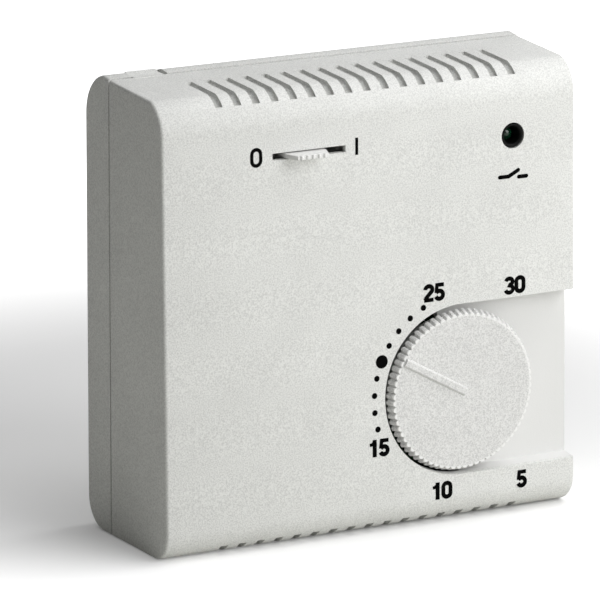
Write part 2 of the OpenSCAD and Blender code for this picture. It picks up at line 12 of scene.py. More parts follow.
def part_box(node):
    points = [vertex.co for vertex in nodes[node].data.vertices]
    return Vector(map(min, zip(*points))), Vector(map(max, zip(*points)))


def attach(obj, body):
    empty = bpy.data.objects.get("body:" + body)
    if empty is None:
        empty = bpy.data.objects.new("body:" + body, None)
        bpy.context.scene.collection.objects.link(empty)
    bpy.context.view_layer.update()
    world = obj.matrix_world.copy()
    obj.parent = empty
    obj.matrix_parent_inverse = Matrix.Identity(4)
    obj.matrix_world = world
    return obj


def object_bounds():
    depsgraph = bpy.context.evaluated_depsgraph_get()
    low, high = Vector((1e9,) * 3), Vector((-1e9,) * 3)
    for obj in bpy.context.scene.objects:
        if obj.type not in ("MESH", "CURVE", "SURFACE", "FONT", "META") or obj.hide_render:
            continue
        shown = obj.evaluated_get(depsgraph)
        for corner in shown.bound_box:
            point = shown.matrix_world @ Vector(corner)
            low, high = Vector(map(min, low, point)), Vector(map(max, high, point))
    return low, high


MM = 0.001
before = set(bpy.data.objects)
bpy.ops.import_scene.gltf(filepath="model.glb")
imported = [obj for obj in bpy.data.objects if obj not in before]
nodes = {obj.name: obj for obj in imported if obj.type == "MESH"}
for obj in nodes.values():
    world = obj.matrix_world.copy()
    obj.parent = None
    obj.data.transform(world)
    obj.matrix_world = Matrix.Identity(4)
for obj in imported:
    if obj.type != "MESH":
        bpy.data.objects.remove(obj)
cad_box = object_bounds()

# ---------------------------------------------------------------- values shared with the CAD
FRONT_DEPTH = 30.1
FRONT_LEAN = math.tan(math.radians(1.3))
DIAL_X, DIAL_Z = 18.1, -17.7
BOARD_TOP = 8.0
LEAD_STUB = 1.8
AXIAL_LIFT = 0.2
RESISTORS = [(x, -20.0) for x in (-3, 0, 3, 6)] + [(31.5, 14.0), (35.0, 14.0)]
RESISTOR_R, RESISTOR_L = 1.15, 6.0
DIODES = [(x, z) for x in (30.5, 34.5) for z in (-13.0, -25.0)]
DIODE_R, DIODE_L = 1.35, 5.0
FUSE = (-34.0, 16.0)
FUSE_R, FUSE_L = 2.0, 9.0
CANS = [(-10.5, -13.0, 4.0, 11.5), (-10.5, -23.0, 3.15, 9.0)]
AXIAL_PARTS = [(RESISTORS, RESISTOR_R, RESISTOR_L), (DIODES, DIODE_R, DIODE_L), ([FUSE], FUSE_R, FUSE_L)]


def front_at(z):
    """Depth of the front face at a height, in mm."""
    return FRONT_DEPTH - FRONT_LEAN * z


# ---------------------------------------------------------------- material helpers
class Graph:
    """A material's node tree, with short calls for the nodes that the finishes share."""

    def __init__(self, name):
        self.material = bpy.data.materials.new(name)
        self.material.use_nodes = True
        self.tree = self.material.node_tree
        self.shader = self.tree.nodes["Principled BSDF"]
        self.coords = self.add("ShaderNodeTexCoord").outputs["Object"]

    def add(self, kind, **settings):
        node = self.tree.nodes.new(kind)
        for key, value in settings.items():
            setattr(node, key, value)
        return node

    def link(self, source, target):
        self.tree.links.new(source, target)

    def stretched(self, scale):
        """Object coordinates with their own scale along each axis."""
        mapping = self.add("ShaderNodeMapping")
        mapping.inputs["Scale"].default_value = scale
        self.link(self.coords, mapping.inputs["Vector"])
        return mapping.outputs["Vector"]

    def noise(self, size_mm, detail=3.0, rough=0.55, vector=None):
        node = self.add("ShaderNodeTexNoise")
        node.inputs["Scale"].default_value = 1 / (size_mm * MM)
        node.inputs["Detail"].default_value = detail
        node.inputs["Roughness"].default_value = rough
        self.link(vector or self.coords, node.inputs["Vector"])
        return node.outputs["Fac"]

    def step(self, value, start_mm, end_mm):
        """0 before the start and 1 past the end, for a value in metres; the end may be the lower one."""
        node = self.add("ShaderNodeMapRange", interpolation_type="SMOOTHSTEP")
        node.inputs["From Min"].default_value = start_mm * MM
        node.inputs["From Max"].default_value = end_mm * MM
        self.link(value, node.inputs["Value"])
        return node.outputs["Result"]

    def product(self, values):
        """All the values multiplied together."""
        total = values[0]
        for value in values[1:]:
            node = self.add("ShaderNodeMath", operation="MULTIPLY")
            self.link(total, node.inputs[0])
            self.link(value, node.inputs[1])
            total = node.outputs[0]
        return total

    def axes(self):
        """Object coordinates as three values."""
        node = self.add("ShaderNodeSeparateXYZ")
        self.link(self.coords, node.inputs[0])
        return node.outputs

    def ramp(self, fac, low, high, at=(0.3, 0.7)):
        node = self.add("ShaderNodeValToRGB")
        for stop, colour, place in zip(node.color_ramp.elements, (low, high), at):
            stop.color = (*colour, 1)
            stop.position = place
        self.link(fac, node.inputs["Fac"])
        return node.outputs["Color"]

    def spread(self, fac, low, high):
        node = self.add("ShaderNodeMapRange")
        node.inputs["To Min"].default_value = low
        node.inputs["To Max"].default_value = high
        self.link(fac, node.inputs["Value"])
        return node.outputs["Result"]

    def mixed(self, fac, first, second, blend="MIX"):
        node = self.add("ShaderNodeMix", data_type="RGBA", blend_type=blend)
        if isinstance(fac, float):
            node.inputs[0].default_value = fac
        else:
            self.link(fac, node.inputs[0])
        for socket, value in ((node.inputs[6], first), (node.inputs[7], second)):
            if isinstance(value, tuple):
                socket.default_value = (*value, 1)
            else:
                self.link(value, socket)
        return node.outputs[2]

    def bump(self, height, depth_mm, strength=1.0, after=None):
        node = self.add("ShaderNodeBump")
        node.inputs["Strength"].default_value = strength
        node.inputs["Distance"].default_value = depth_mm * MM
        self.link(height, node.inputs["Height"])
        if after is not None:
            self.link(after, node.inputs["Normal"])
        return node.outputs["Normal"]

    def finish(self, colour=None, roughness=None, normal=None, **values):
        for name, source in (("Base Color", colour), ("Roughness", roughness), ("Normal", normal)):
            if isinstance(source, (tuple, float)):
                value = (*source, 1) if isinstance(source, tuple) else source
                self.shader.inputs[name].default_value = value
            elif source is not None:
                self.link(source, self.shader.inputs[name])
        for name, value in values.items():
            self.shader.inputs[name.replace("_", " ")].default_value = value
        return self.material


def shade(colour, factor):
    """A colour made darker or paler, up to plain white."""
    return tuple(min(1.0, c * factor) for c in colour)


# Edges of the places painted paler, as painted light in the hollow and a painted highlight on the dial's
# rim, in mm: where each begins to show, and where it is full
HOLLOW_LEFT = (2.0, 3.0)
HOLLOW_BOTTOM, HOLLOW_TOP = (-34.6, -34.3), (-1.0, -1.3)
HOLLOW_FRONT, HOLLOW_BACK = (-30.1, -29.7), (-25.9, -26.3)
DIAL_EDGE_INSIDE = (13.8, 14.1)
DIAL_EDGE_BACK = (-30.75, -30.95)


def hollow_painted_light(g):
    """1 in the hollow to the right of the dial, which is painted plain and paler as painted light, 0
    elsewhere.
    """
    x, y, z = g.axes()
    return g.product([g.step(x, *HOLLOW_LEFT), g.step(y, *HOLLOW_FRONT), g.step(y, *HOLLOW_BACK),
                      g.step(z, *HOLLOW_BOTTOM), g.step(z, *HOLLOW_TOP)])


def dial_rim_highlight(g):
    """1 on the thin outer ring of the dial's face, painted paler as a painted highlight on its edge, 0
    elsewhere.
    """
    x, y, z = g.axes()
    place = g.add("ShaderNodeCombineXYZ")
    g.link(x, place.inputs[0])
    g.link(z, place.inputs[2])
    radius = g.add("ShaderNodeVectorMath", operation="DISTANCE")
    g.link(place.outputs[0], radius.inputs[0])
    radius.inputs[1].default_value = (DIAL_X * MM, 0, DIAL_Z * MM)
    return g.product([g.step(radius.outputs["Value"], *DIAL_EDGE_INSIDE), g.step(y, *DIAL_EDGE_BACK)])


def moulded(name, colour, rough=0.55, grain_mm=0.26, grain_depth=0.03, vary=0.03, fleck_depth=0.24,
            painted_light_part=None, painted_light_colour=(1, 1, 1), **values):
    """Plastic from a spark-eroded mould: fine even grain, faint cloudiness in colour and gloss.

    The part mask and its colour paint places plain and paler: painted light and painted highlights.
    """
    g = Graph(name)
    cloud = g.noise(9.0, 2.0)
    fleck = g.noise(grain_mm, 2.0, 0.6)
    lift = 1 + fleck_depth * 0.45
    base = g.ramp(cloud, shade(colour, lift - vary), shade(colour, lift + vary * 0.6))
    specks = g.ramp(fleck, shade((1, 1, 1), 1 - fleck_depth), (1, 1, 1), (0.34, 0.62))
    base = g.mixed(1.0, base, specks, "MULTIPLY")
    if painted_light_part:
        base = g.mixed(painted_light_part(g), base, painted_light_colour)
    grain = g.noise(grain_mm, 3.0, 0.6)
    wave = g.noise(14.0, 1.0)
    normal = g.bump(grain, grain_depth, 1.0)
    normal = g.bump(wave, 0.05, 0.5, after=normal)
    return g.finish(base, g.spread(fleck, rough - 0.07, rough + 0.1), normal, **values)


def metal(name, colour, rough=0.3, brushed=(1, 1, 1), **values):
    """Plated or rolled metal with fine scratches and a little tarnish."""
    g = Graph(name)
    tarnish = g.noise(2.2, 4.0)
    scratches = g.noise(0.12, 4.0, 0.7, g.stretched(brushed))
    base = g.ramp(tarnish, shade(colour, 0.78), colour)
    normal = g.bump(scratches, 0.006, 0.6)
    return g.finish(base, g.spread(tarnish, rough + 0.12, rough - 0.05), normal, Metallic=1.0, **values)


def lacquer(name, colour, rough=0.3, dimple_mm=1.1, depth=0.03, vary=0.08, **values):
    """Dipped or painted coating: slightly uneven, with soft dimples and a coat gloss."""
    g = Graph(name)
    cloud = g.noise(1.6, 3.0)
    base = g.ramp(cloud, shade(colour, 1 - vary), shade(colour, 1 + vary))
    dust = g.noise(0.2, 2.0)
    normal = g.bump(g.noise(dimple_mm, 2.0), depth, 0.6)
    return g.finish(base, g.spread(dust, rough, rough + 0.16), normal, Coat_Weight=0.25,
                    Coat_Roughness=0.2, **values)


def laminate(name):
    """Glass-epoxy board under green solder mask, with the weave faintly showing."""
    g = Graph(name)
    warp = g.add("ShaderNodeTexWave", bands_direction="X")
    weft = g.add("ShaderNodeTexWave", bands_direction="Z")
    for wave in (warp, weft):
        wave.inputs["Scale"].default_value = 1 / (1.7 * MM)
        wave.inputs["Distortion"].default_value = 0.6
        g.link(g.coords, wave.inputs["Vector"])
    weave = g.mixed(0.5, warp.outputs["Color"], weft.outputs["Color"])
    cloud = g.noise(6.0, 3.0)
    base = g.ramp(cloud, (0.012, 0.085, 0.03), (0.02, 0.14, 0.05))
    base = g.mixed(0.12, base, weave, "OVERLAY")
    normal = g.bump(weave, 0.012, 0.4)
    normal = g.bump(g.noise(0.6, 2.0), 0.01, 0.3, after=normal)
    return g.finish(base, g.spread(cloud, 0.28, 0.42), normal, Coat_Weight=0.3, Coat_Roughness=0.15)


def ink(name, colour):
    """Pad-printed ink: matt, with a slightly starved grain."""
    g = Graph(name)
    grain = g.noise(0.12, 3.0)
    base = g.ramp(grain, colour, shade(colour, 1.5), (0.35, 0.8))
    return g.finish(base, g.spread(grain, 0.6, 0.8), g.bump(grain, 0.008, 0.5), Specular_IOR_Level=0.02)


def lens(name, colour):
    """Diffused coloured epoxy of a lamp."""
    g = Graph(name)
    haze = g.noise(0.5, 3.0)
    base = g.ramp(haze, shade(colour, 0.7), shade(colour, 1.3))
    return g.finish(base, g.spread(haze, 0.12, 0.22), g.bump(haze, 0.004, 0.4), Coat_Weight=0.4)


WHITE = (0.76, 0.765, 0.745)
DARK_GREY = (0.022, 0.022, 0.025)
finishes = {
    # case_plastic: the hollow right of the dial is painted plain and paler, as painted light
    "case_plastic": moulded("case_plastic", WHITE,
                            painted_light_part=hollow_painted_light, painted_light_colour=(0.79, 0.79, 0.78)),
    # dial_plastic: a painted highlight, the outer ring of the dial's face painted near white
    "dial_plastic": moulded("dial_plastic", (0.75, 0.75, 0.74), 0.5, fleck_depth=0.28,
                            painted_light_part=dial_rim_highlight, painted_light_colour=(0.92, 0.92, 0.91)),
    "slider_plastic": moulded("slider_plastic", (0.82, 0.82, 0.81), 0.45, 0.2, 0.012, 0.02, 0.04),
    "lever_plastic": moulded("lever_plastic", (0.05, 0.05, 0.055), 0.4, 0.3, 0.02, 0.15, 0.1),
    "terminal_plastic": moulded("terminal_plastic", (0.05, 0.24, 0.10), 0.42, 0.3, 0.02, 0.08, 0.1),
    "relay_plastic": moulded("relay_plastic", (0.03, 0.12, 0.42), 0.25, 0.5, 0.01, 0.08, 0.06),
    "trimmer_plastic": moulded("trimmer_plastic", (0.03, 0.16, 0.50), 0.35, 0.3, 0.015, 0.1, 0.06),
    "film_capacitor": moulded("film_capacitor", (0.72, 0.42, 0.04), 0.32, 0.5, 0.015, 0.06, 0.06),
    "black_resin": moulded("black_resin", DARK_GREY, 0.42, 0.25, 0.015, 0.2, 0.1),
    "holder_plastic": moulded("holder_plastic", (0.006, 0.006, 0.006), 0.5, 0.25, 0.01, 0.1, 0.1,
                              Specular_IOR_Level=0.12),
    "can_sleeve": lacquer("can_sleeve", (0.018, 0.022, 0.055), 0.28, 2.0, 0.02, 0.15),
    "resistor_lacquer": lacquer("resistor_lacquer", (0.62, 0.44, 0.25), 0.35, 0.9),
    "fuse_lacquer": lacquer("fuse_lacquer", (0.16, 0.33, 0.24), 0.5, 0.8, 0.05),
    "varistor_lacquer": lacquer("varistor_lacquer", (0.03, 0.17, 0.42), 0.38, 1.2, 0.06),
    "sensor_lacquer": lacquer("sensor_lacquer", (0.05, 0.055, 0.03), 0.35, 0.7, 0.05),
    "steel": metal("steel", (0.62, 0.62, 0.63), 0.32),
    "plated_brass": metal("plated_brass", (0.78, 0.60, 0.30), 0.3),
    "aluminium_shaft": metal("aluminium_shaft", (0.74, 0.75, 0.76), 0.28, (1, 0.08, 1)),
    "board_laminate": laminate("board_laminate"),
    "lamp_lens": lens("lamp_lens", (0.004, 0.03, 0.014)),
    "print_ink": ink("print_ink", (0.002, 0.002, 0.002)),
    "print_white": ink("print_white", (0.62, 0.64, 0.60)),
    "solder": metal("solder", (0.55, 0.55, 0.56), 0.35),
    "board_track": lacquer("board_track", (0.05, 0.26, 0.09), 0.3, 2.0, 0.01),
    "band_brown": lacquer("band_brown", (0.10, 0.03, 0.012), 0.35, 0.8, 0.01),
    "band_red": lacquer("band_red", (0.45, 0.02, 0.015), 0.35, 0.8, 0.01),
    "band_gold": lacquer("band_gold", (0.55, 0.36, 0.08), 0.3, 0.8, 0.01, Metallic=0.6),
}


# ---------------------------------------------------------------- edges and shading of the CAD nodes
MERGE_WITHIN = 0.002 * MM
# Angles between neighbouring faces, in degrees: shaded smooth, taken as one flat face, and rounded
SMOOTH_BELOW, FLAT_BELOW, ROUNDED_ABOVE = 34, 0.2, 40


def shading_group():
    """Geometry nodes: joins the faces' split vertices and shades smooth across shallow edges only."""
    tree = bpy.data.node_groups.new("edge_shading", "GeometryNodeTree")
    tree.interface.new_socket("Geometry", in_out="INPUT", socket_type="NodeSocketGeometry")
    tree.interface.new_socket("Geometry", in_out="OUTPUT", socket_type="NodeSocketGeometry")
    add = tree.nodes.new
    start, end = add("NodeGroupInput"), add("NodeGroupOutput")
    drop = add("GeometryNodeRemoveAttribute")
    drop.inputs["Name"].default_value = "custom_normal"
    merge = add("GeometryNodeMergeByDistance")
    merge.inputs["Distance"].default_value = MERGE_WITHIN
    all_smooth, by_edge = add("GeometryNodeSetShadeSmooth"), add("GeometryNodeSetShadeSmooth")
    by_edge.domain = "EDGE"
    angle = add("GeometryNodeInputMeshEdgeAngle")
    shallow = add("FunctionNodeCompare")
    shallow.operation = "LESS_THAN"
    shallow.inputs["B"].default_value = math.radians(SMOOTH_BELOW)
    link = tree.links.new
    link(start.outputs[0], drop.inputs["Geometry"])
    link(drop.outputs["Geometry"], merge.inputs["Geometry"])
    link(merge.outputs["Geometry"], all_smooth.inputs["Geometry"])
    link(all_smooth.outputs["Geometry"], by_edge.inputs["Geometry"])
    link(angle.outputs["Unsigned Angle"], shallow.inputs["A"])
    link(shallow.outputs["Result"], by_edge.inputs["Shade Smooth"])
    link(by_edge.outputs["Geometry"], end.inputs[0])
    return tree


EDGE_SHADING = shading_group()


def soften(obj, width_mm=0.0, segments=2):
    """Even shading on a CAD node or piece, and a small rounding along its edges."""
    obj.modifiers.new("join", "NODES").node_group = EDGE_SHADING
    if not width_mm:
        return
    flat = obj.modifiers.new("flat_faces", "DECIMATE")
    flat.decimate_type = "DISSOLVE"
    flat.angle_limit = math.radians(FLAT_BELOW)
    edge = obj.modifiers.new("edge_rounding", "BEVEL")
    edge.width = width_mm * MM
    edge.segments = segments
    edge.limit_method = "ANGLE"
    edge.angle_limit = math.radians(ROUNDED_ABOVE)
    edge.use_clamp_overlap = False
    edge.harden_normals = False
    normals = obj.modifiers.new("even_normals", "WEIGHTED_NORMAL")
    normals.keep_sharp = True


# Radius in mm of the small rounding along a node's edges
ROUNDING = {"switch_slider": 0.06, "relay_case": 0.25, "suppression_capacitor": 0.3,
            "terminal_block": 0.1, "switch_frame": 0.1, "calibration_trimmer": 0.1, "control_chip": 0.12}
for name, node in nodes.items():
    finish_name = node.material_slots[0].material.name
    node.material_slots[0].material = finishes[finish_name]
    soften(node, ROUNDING.get(name, 0.0))


# ---------------------------------------------------------------- printed marks
# Bottom and top of a printed line, in mm from the surface it is printed on
PRINT_THICK = (-0.03, 0.035)


def piece(name, mesh, body, slot_name):
    """Puts a mesh in the scene with its finish, on the body that carries it."""
    obj = bpy.data.objects.new(name, mesh)
    bpy.context.scene.collection.objects.link(obj)
    mesh.materials.append(finishes[slot_name])
    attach(obj, body)
    return obj


def arc(cx, cz, r, start, end, steps=14, squash=1.0):
    """Points on an arc, angles in degrees counter-clockwise from the right."""
    angles = [math.radians(start + (end - start) * i / steps) for i in range(steps + 1)]
    return [(cx + r * math.cos(a), cz + r * squash * math.sin(a)) for a in angles]


def circle(x, z, r, steps):
    """Points all round a circle, without the first one again at the end."""
    angles = [math.tau * i / steps for i in range(steps)]
    return [(x + r * math.cos(a), z + r * math.sin(a)) for a in angles]


def bridge(bm, low, high):
    """Faces between two closed rings of vertices."""
    for i in range(len(low)):
        j = (i + 1) % len(low)
        bm.faces.new((low[i], low[j], high[j], high[i]))


def stroke(bm, points, width, place, closed=False, thick=PRINT_THICK):
    """A flat line of even width through 2D points, as a thin solid; place turns (x, z, lift) into 3D."""
    count = len(points)
    sides = []
    for i, (x, z) in enumerate(points):
        before = Vector(points[i - 1]) if closed or i else None
        after = Vector(points[(i + 1) % count]) if closed or i < count - 1 else None
        here = Vector((x, z))
        d0 = (here - before).normalized() if before is not None else None
        d1 = (after - here).normalized() if after is not None else None
        d0, d1 = d0 or d1, d1 or d0
        n0, n1 = Vector((-d0.y, d0.x)), Vector((-d1.y, d1.x))
        mitre = (n0 + n1).normalized()
        reach = width / 2 / max(0.45, mitre.dot(n0))
        sides.append((here + mitre * reach, here - mitre * reach))
    rings = [[bm.verts.new(place(p.x, p.y, lift)) for p, lift in
              ((left, thick[0]), (left, thick[1]), (right, thick[1]), (right, thick[0]))]
             for left, right in sides]
    for i in range(count if closed else count - 1):
        bridge(bm, rings[i], rings[(i + 1) % count])
    if not closed:
        bm.faces.new(rings[0][::-1])
        bm.faces.new(rings[-1])


def disc(bm, x, z, r, place):
    """A round dot, as thick as a printed line."""
    low, high = ([bm.verts.new(place(px, pz, lift)) for px, pz in circle(x, z, r, 28)]
                 for lift in PRINT_THICK)
    bridge(bm, low, high)
    bm.faces.new(low[::-1])
    bm.faces.new(high)


def on_front(x, z, lift):
    """A point on the front face of the cover, lifted off it, from mm to metres."""
    return Vector((x * MM, -(front_at(z) + lift) * MM, z * MM))


def on_board(x, z, lift):
    """A point on the circuit board, lifted off it, from mm to metres."""
    return Vector((x * MM, -(BOARD_TOP + lift) * MM, z * MM))


# Digits in a box 1 wide and 1.6 high: strokes of (points, closed, share of the full width)
DIGITS = {
    "0": [(arc(0.5, 1.1, 0.34, 0, 180, 14, 0.98) + arc(0.5, 0.5, 0.34, 180, 360, 14, 0.98), True, 1.0)],
    "1": [([(0.62, 1.6), (0.62, 0.0)], False, 1.05),
          ([(0.16, 1.15), (0.36, 1.17), (0.62, 1.44)], False, 0.72)],
    "2": [(arc(0.5, 1.1, 0.33, 178, -28) + [(0.52, 0.66), (0.24, 0.34), (0.16, 0.15)], False, 1.0),
          ([(0.06, 0.15), (0.94, 0.15)], False, 0.9)],
    "3": [(arc(0.48, 1.15, 0.32, 168, -75, 14, 0.92)
           + arc(0.48, 0.47, 0.35, 82, -168, 16, 0.94), False, 0.95)],
    "5": [([(0.92, 1.44), (0.27, 1.44), (0.19, 0.72)], False, 0.9),
          (arc(0.49, 0.52, 0.345, 148, -160, 18, 1.06), False, 1.0)],
}


# Sizes of the marks, in mm
DIGIT_HEIGHT, DIGIT_WIDTH, DIGIT_STROKE = 3.2, 2.2, 0.8
DOT_R, BIG_DOT_R = 0.55, 1.22
ZERO_R, ZERO_STROKE, ONE_STROKE = 0.885, 0.65, 0.58
SIGN_STROKE = 0.72

# The scale's radius in mm, and in degrees of arc the place of its 20 and the turn to the next dot
SCALE_R, SCALE_AT_20, SCALE_STEP = 18, 155.9, 10.05


def number(bm, text, cx, cz):
    """A number of the scale, centred on a point of the front."""
    unit = DIGIT_HEIGHT / 1.6
    left = cx - DIGIT_WIDTH * len(text) / 2
    for i, digit in enumerate(text):
        for points, closed, share in DIGITS[digit]:
            placed = [(left + (i + x) * DIGIT_WIDTH, cz + (z - 0.8) * unit) for x, z in points]
            stroke(bm, placed, DIGIT_STROKE * share, on_front, closed)


def round_stroke(bm, points, width, place):
    """A stroke with round ends."""
    stroke(bm, points, width, place)
    for x, z in (points[0], points[-1]):
        disc(bm, x, z, width / 2, place)


def build(name, body, slot_name, draw):
    """A piece that draw fills in, riding on a body."""
    bm = bmesh.new()
    draw(bm)
    bmesh.ops.recalc_face_normals(bm, faces=bm.faces)
    mesh = bpy.data.meshes.new(name)
    bm.to_mesh(mesh)
    bm.free()
    return piece(name, mesh, body, slot_name)


def draw_scale_numbers(bm):
    for text, x, z in (("30", 29.33, 0.51), ("25", 12.53, 1.09), ("15", 0.94, -26.13),
                       ("10", 13.93, -35.76), ("5", 30.75, -35.78)):
        number(bm, text, x, z)


def draw_scale_dots(bm):
    for degrees in range(16, 25):
        a = math.radians(SCALE_AT_20 - (degrees - 20) * SCALE_STEP)
        r = BIG_DOT_R if degrees == 20 else DOT_R
        disc(bm, DIAL_X + SCALE_R * math.cos(a), DIAL_Z + SCALE_R * math.sin(a), r, on_front)


def draw_switch_marks(bm):
    """The 0 and the 1 at the ends of the slot."""
    ring = arc(-23.35, 30.06, ZERO_R, 0, 180, 12) + arc(-23.35, 28.94, ZERO_R, 180, 360, 12)
    stroke(bm, ring, ZERO_STROKE, on_front, True)
    stroke(bm, [(-3.15, 27.9), (-3.15, 31.0)], ONE_STROKE, on_front)


def draw_contact_sign(bm):
    """The sign of an open contact, under the lamp."""
    round_stroke(bm, [(26.23, 20.6), (28.1, 20.6), (30.1, 21.6)], SIGN_STROKE, on_front)
    round_stroke(bm, [(30.2, 20.34), (31.8, 20.34)], SIGN_STROKE, on_front)


for name, draw in (("scale_numbers", draw_scale_numbers), ("scale_dots", draw_scale_dots),
                   ("switch_marks", draw_switch_marks), ("contact_sign", draw_contact_sign)):
    build(name, "cover", "print_ink", draw)


# ---------------------------------------------------------------- details of the parts on the board
def lathe(bm, profile, place, closed=False, steps=28):
    """Turns (radius, along) pairs round an axis; place turns (across, up, along) into 3D."""
    rings = [[bm.verts.new(place(across, up, along)) for across, up in circle(0, 0, r, steps)]
             for r, along in profile]
    for low, high in zip(rings, rings[1:] + rings[:1] if closed else rings[1:]):
        bridge(bm, low, high)
    if not closed:
        bm.faces.new(rings[0][::-1])
        bm.faces.new(rings[-1])


def along_z(x, depth, z):
    """Places a turned shape whose axis runs along Z."""
    return lambda across, up, along: Vector(((x + across) * MM, -(depth + up) * MM, (z + along) * MM))


def out_of_board(x, z, base=BOARD_TOP):
    """Places a turned shape that stands on the board."""
    return lambda across, up, along: Vector(((x + across) * MM, -(base + along) * MM, (z + up) * MM))


def band(bm, x, z, r, width):
    """A painted ring round an axial part."""
    ring = [(r - 0.04, -width / 2), (r + 0.025, -width / 2), (r + 0.03, 0), (r + 0.025, width / 2),
            (r - 0.04, width / 2)]
    lathe(bm, ring, along_z(x, BOARD_TOP + r + AXIAL_LIFT, z), closed=True)


def draw_resistor_ends(bm):
    """The swollen ends over the resistors' caps."""
    swell = [(RESISTOR_R - 0.02, -0.75), (RESISTOR_R + 0.1, -0.55), (RESISTOR_R + 0.17, -0.2),
             (RESISTOR_R + 0.16, 0.3), (RESISTOR_R + 0.04, 0.62), (RESISTOR_R - 0.35, 0.82), (0.4, 0.9)]
    for x, z in RESISTORS:
        for side in (-1, 1):
            profile = [(r, side * (RESISTOR_L / 2 - 0.75 + along)) for r, along in swell]
            lathe(bm, profile, along_z(x, BOARD_TOP + RESISTOR_R + AXIAL_LIFT, z))


def bands_at(offsets, width=0.5):
    def draw(bm):
        for x, z in RESISTORS:
            for offset in offsets:
                band(bm, x, z + offset, RESISTOR_R, width)
    return draw


def draw_diode_bands(bm):
    for x, z in DIODES:
        band(bm, x, z + 1.6, DIODE_R, 0.7)


def draw_pads(bm):
    """Tinned pads with a fillet of solder where the leads of the axial parts enter the board."""
    fillet = [(1.05, -0.02), (1.05, 0.05), (0.75, 0.14), (0.5, 0.42), (0.36, 0.8)]
    for places, _, length in AXIAL_PARTS:
        for x, z in places:
            for side in (-1, 1):
                lathe(bm, fillet, out_of_board(x, z + side * (length / 2 + LEAD_STUB)), steps=20)


def draw_can_tops(bm):
    """Bare aluminium tops of the capacitors, scored with a cross."""
    for x, z, r, h in CANS:
        top = [(r - 0.55, -0.05), (r - 0.55, 0.03), (r - 0.8, 0.07)]
        lathe(bm, top, out_of_board(x, z, BOARD_TOP + h))


def draw_can_scores(bm):
    for x, z, r, h in CANS:
        reach = 0.55 * r
        for along in ((-reach, 0, reach, 0), (0, -reach, 0, reach)):
            points = [(x + along[0], z + along[1]), (x + along[2], z + along[3])]
            stroke(bm, points, 0.16, lambda px, pz, lift, h=h: on_board(px, pz, h + 0.05 + lift))


def draw_can_stripes(bm):
    """Pale stripe down the sleeve on the side of the negative lead."""
    for x, z, r, h in CANS:
        rims = [[bm.verts.new(on_board(px, pz, lift)) for px, pz in arc(x, z, r + t, -110, -70, 8)]
                for t, lift in ((-0.05, 2.4), (0.03, 2.4), (0.03, h - 0.3), (-0.05, h - 0.3))]
        for low, high in zip(rims, rims[1:] + rims[:1]):
            for i in range(len(low) - 1):
                bm.faces.new((low[i], low[i + 1], high[i + 1], high[i]))
        bm.faces.new([rim[0] for rim in rims])
        bm.faces.new([rim[-1] for rim in rims][::-1])


def rectangle(x0, z0, x1, z1, corner=0.0):
    """The outline of a rectangle, with rounded corners if asked for."""
    if not corner:
        return [(x0, z0), (x1, z0), (x1, z1), (x0, z1)]
    left, right, low, high = x0 + corner, x1 - corner, z0 + corner, z1 - corner
    centres = ((right, high), (left, high), (left, low), (right, low))
    return [point for i, (x, z) in enumerate(centres)
            for point in arc(x, z, corner, 90 * i, 90 * (i + 1), 4)]


def footprint(node_name, margin):
    """The outline of a node on the board, in mm, a margin outside it."""
    low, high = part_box(node_name)
    return (low.x / MM - margin, low.z / MM - margin, high.x / MM + margin, high.z / MM + margin)


def draw_board_print(bm):
    """Screen-printed outlines round the parts."""
    for name in ("relay_case", "suppression_capacitor", "terminal_block", "calibration_trimmer",
                 "switch_frame"):
        stroke(bm, rectangle(*footprint(name, 0.5), 0.4), 0.2, on_board, True)
    for x, z, r, h in CANS:
        stroke(bm, arc(x, z, r + 0.5, 0, 360, 40)[:-1], 0.2, on_board, True)
    stroke(bm, arc(DIAL_X, DIAL_Z, 9.0, -50, 230, 48), 0.2, on_board)
    for places, r, length in AXIAL_PARTS:
        for x, z in places:
            half = length / 2
            stroke(bm, rectangle(x - r - 0.15, z - half, x + r + 0.15, z + half), 0.16, on_board, True)


# Copper tracks on the board, as the points of each one's middle line, in mm
TRACKS = [
    [(-3, -15.2), (-3, -11.5), (-5.5, -9), (-5.5, -5.2)],
    [(0, -15.2), (0, -5.2)],
    [(3, -15.2), (3, -12), (8, -7), (8, 5), (13.5, 9.2)],
    [(6, -15.2), (6, -13), (10.5, -8.5), (10.5, 3), (16.2, 8.4)],
    [(-3, -24.8), (-3, -28), (1, -32), (8, -32), (13.1, -28.4)],
    [(0, -24.8), (0, -27), (2.5, -29.5), (11, -29.5)],
    [(3, -24.8), (3, -26), (5, -28)],
    [(30.5, -8.7), (30.5, -6), (26, -1.5), (26, 6.5), (23.8, 8.8)],
    [(34.5, -17.3), (34.5, -20.7)],
    [(30.5, -17.3), (30.5, -20.7)],
    [(34.5, -29.3), (34.5, -31.5), (30, -36), (4, -36)],
    [(31.5, 18.8), (31.5, 22), (29, 24.5), (29, 26.2)],
    [(35, 18.8), (35, 24), (31, 28), (30.5, 28)],
    [(31.5, 9.2), (31.5, 7.5), (27.5, 7.5), (25, 10)],
    [(16.2, 17.2), (16.2, 22), (11, 27.2), (10.8, 28.5)],
    [(18.7, 17.2), (18.7, 24), (10, 32.7), (-1, 32.7)],
    [(-34, 9.8), (-34, 4), (-30, 0), (-22.5, 0)],
    [(-34, 22.4), (-34, 25), (-30, 29), (-23.2, 29)],
    [(-20, 10.8), (-20, 8.5), (-18, 6.7)],
]


def draw_board_tracks(bm):
    for track in TRACKS:
        stroke(bm, track, 0.75, on_board, thick=(-0.02, 0.022))


def draw_relay_rim(bm):
    """Raised rim round the top of the relay."""
    low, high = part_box("relay_case")
    lift = -low.y / MM - BOARD_TOP
    outline = rectangle(*footprint("relay_case", -1.1), 0.8)
    stroke(bm, outline, 0.35, lambda x, z, up: on_board(x, z, lift + up), True, (-0.05, 0.12))


